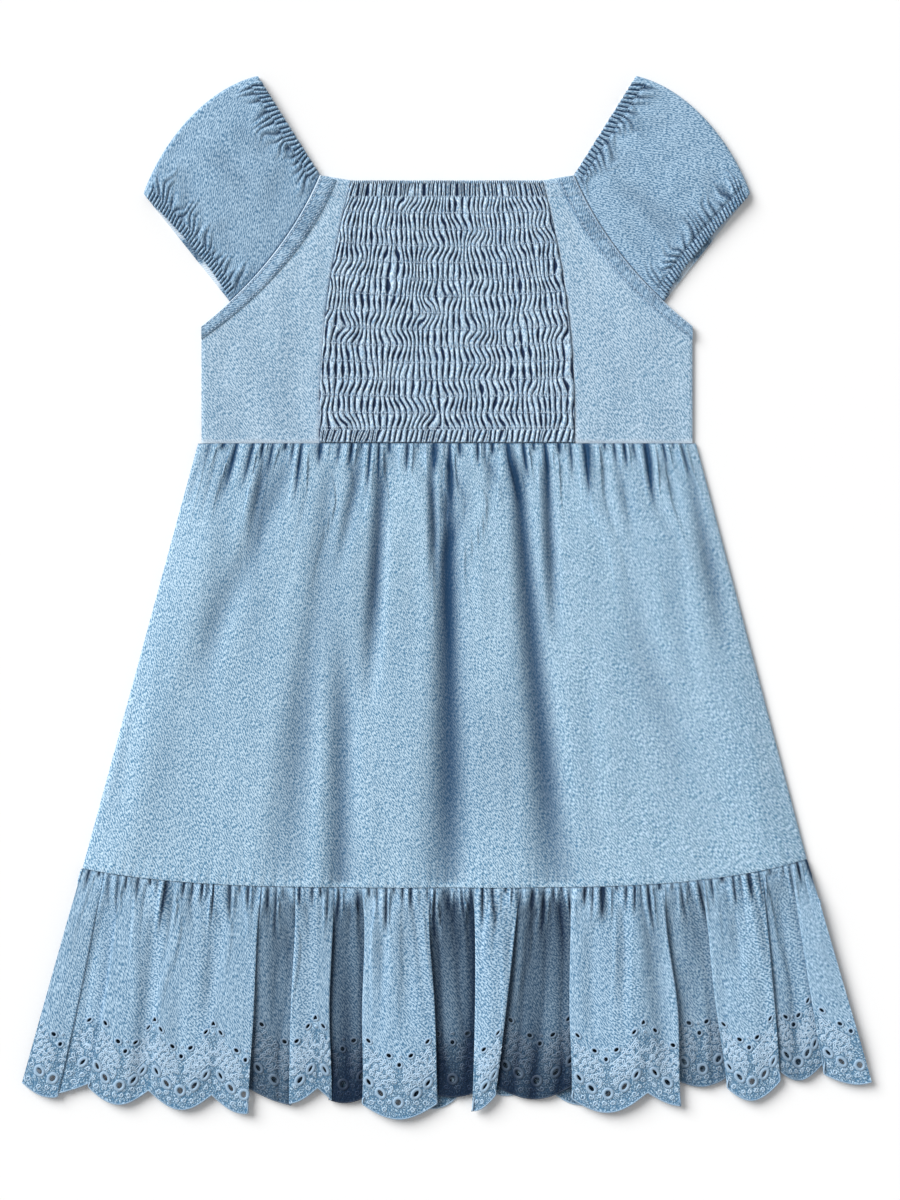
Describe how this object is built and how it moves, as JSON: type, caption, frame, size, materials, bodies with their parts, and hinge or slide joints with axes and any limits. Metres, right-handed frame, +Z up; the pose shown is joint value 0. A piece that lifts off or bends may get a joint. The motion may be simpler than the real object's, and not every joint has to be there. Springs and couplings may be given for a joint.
{
  "type": "toddler dress laid flat",
  "caption": "Toddler dress in light denim, laid flat: shirred bodice front, short puff sleeves, gathered skirt and a scalloped eyelet hem tier.",
  "frame": {"origin": "on the surface it lies on, under the middle of the outline", "axes": "+Z up off the surface, +Y towards the neck, +X to the right of a viewer looking down at the front"},
  "size_m": [0.4748, 0.5826, 0.0083],
  "materials": {
    "shirred_denim": "light-wash denim, shirred in rows with elastic thread",
    "bodice_denim": "light-wash denim, fine twill, matt",
    "skirt_denim": "light-wash denim, fine twill, soft and matt",
    "eyelet_denim": "light-wash denim with a stitched eyelet border and a corded scalloped edge"
  },
  "bodies": {
    "root": {"front_centre_smocked": "shirred_denim", "front_side_left": "bodice_denim", "front_side_right": "bodice_denim", "back_bodice": "bodice_denim", "sleeve_left": "bodice_denim", "sleeve_right": "bodice_denim", "armhole_band_left": "bodice_denim", "armhole_band_right": "bodice_denim", "skirt_front": "skirt_denim", "skirt_back": "skirt_denim", "ruffle_front": "eyelet_denim", "ruffle_back": "eyelet_denim"}
  },
  "joints": []
}
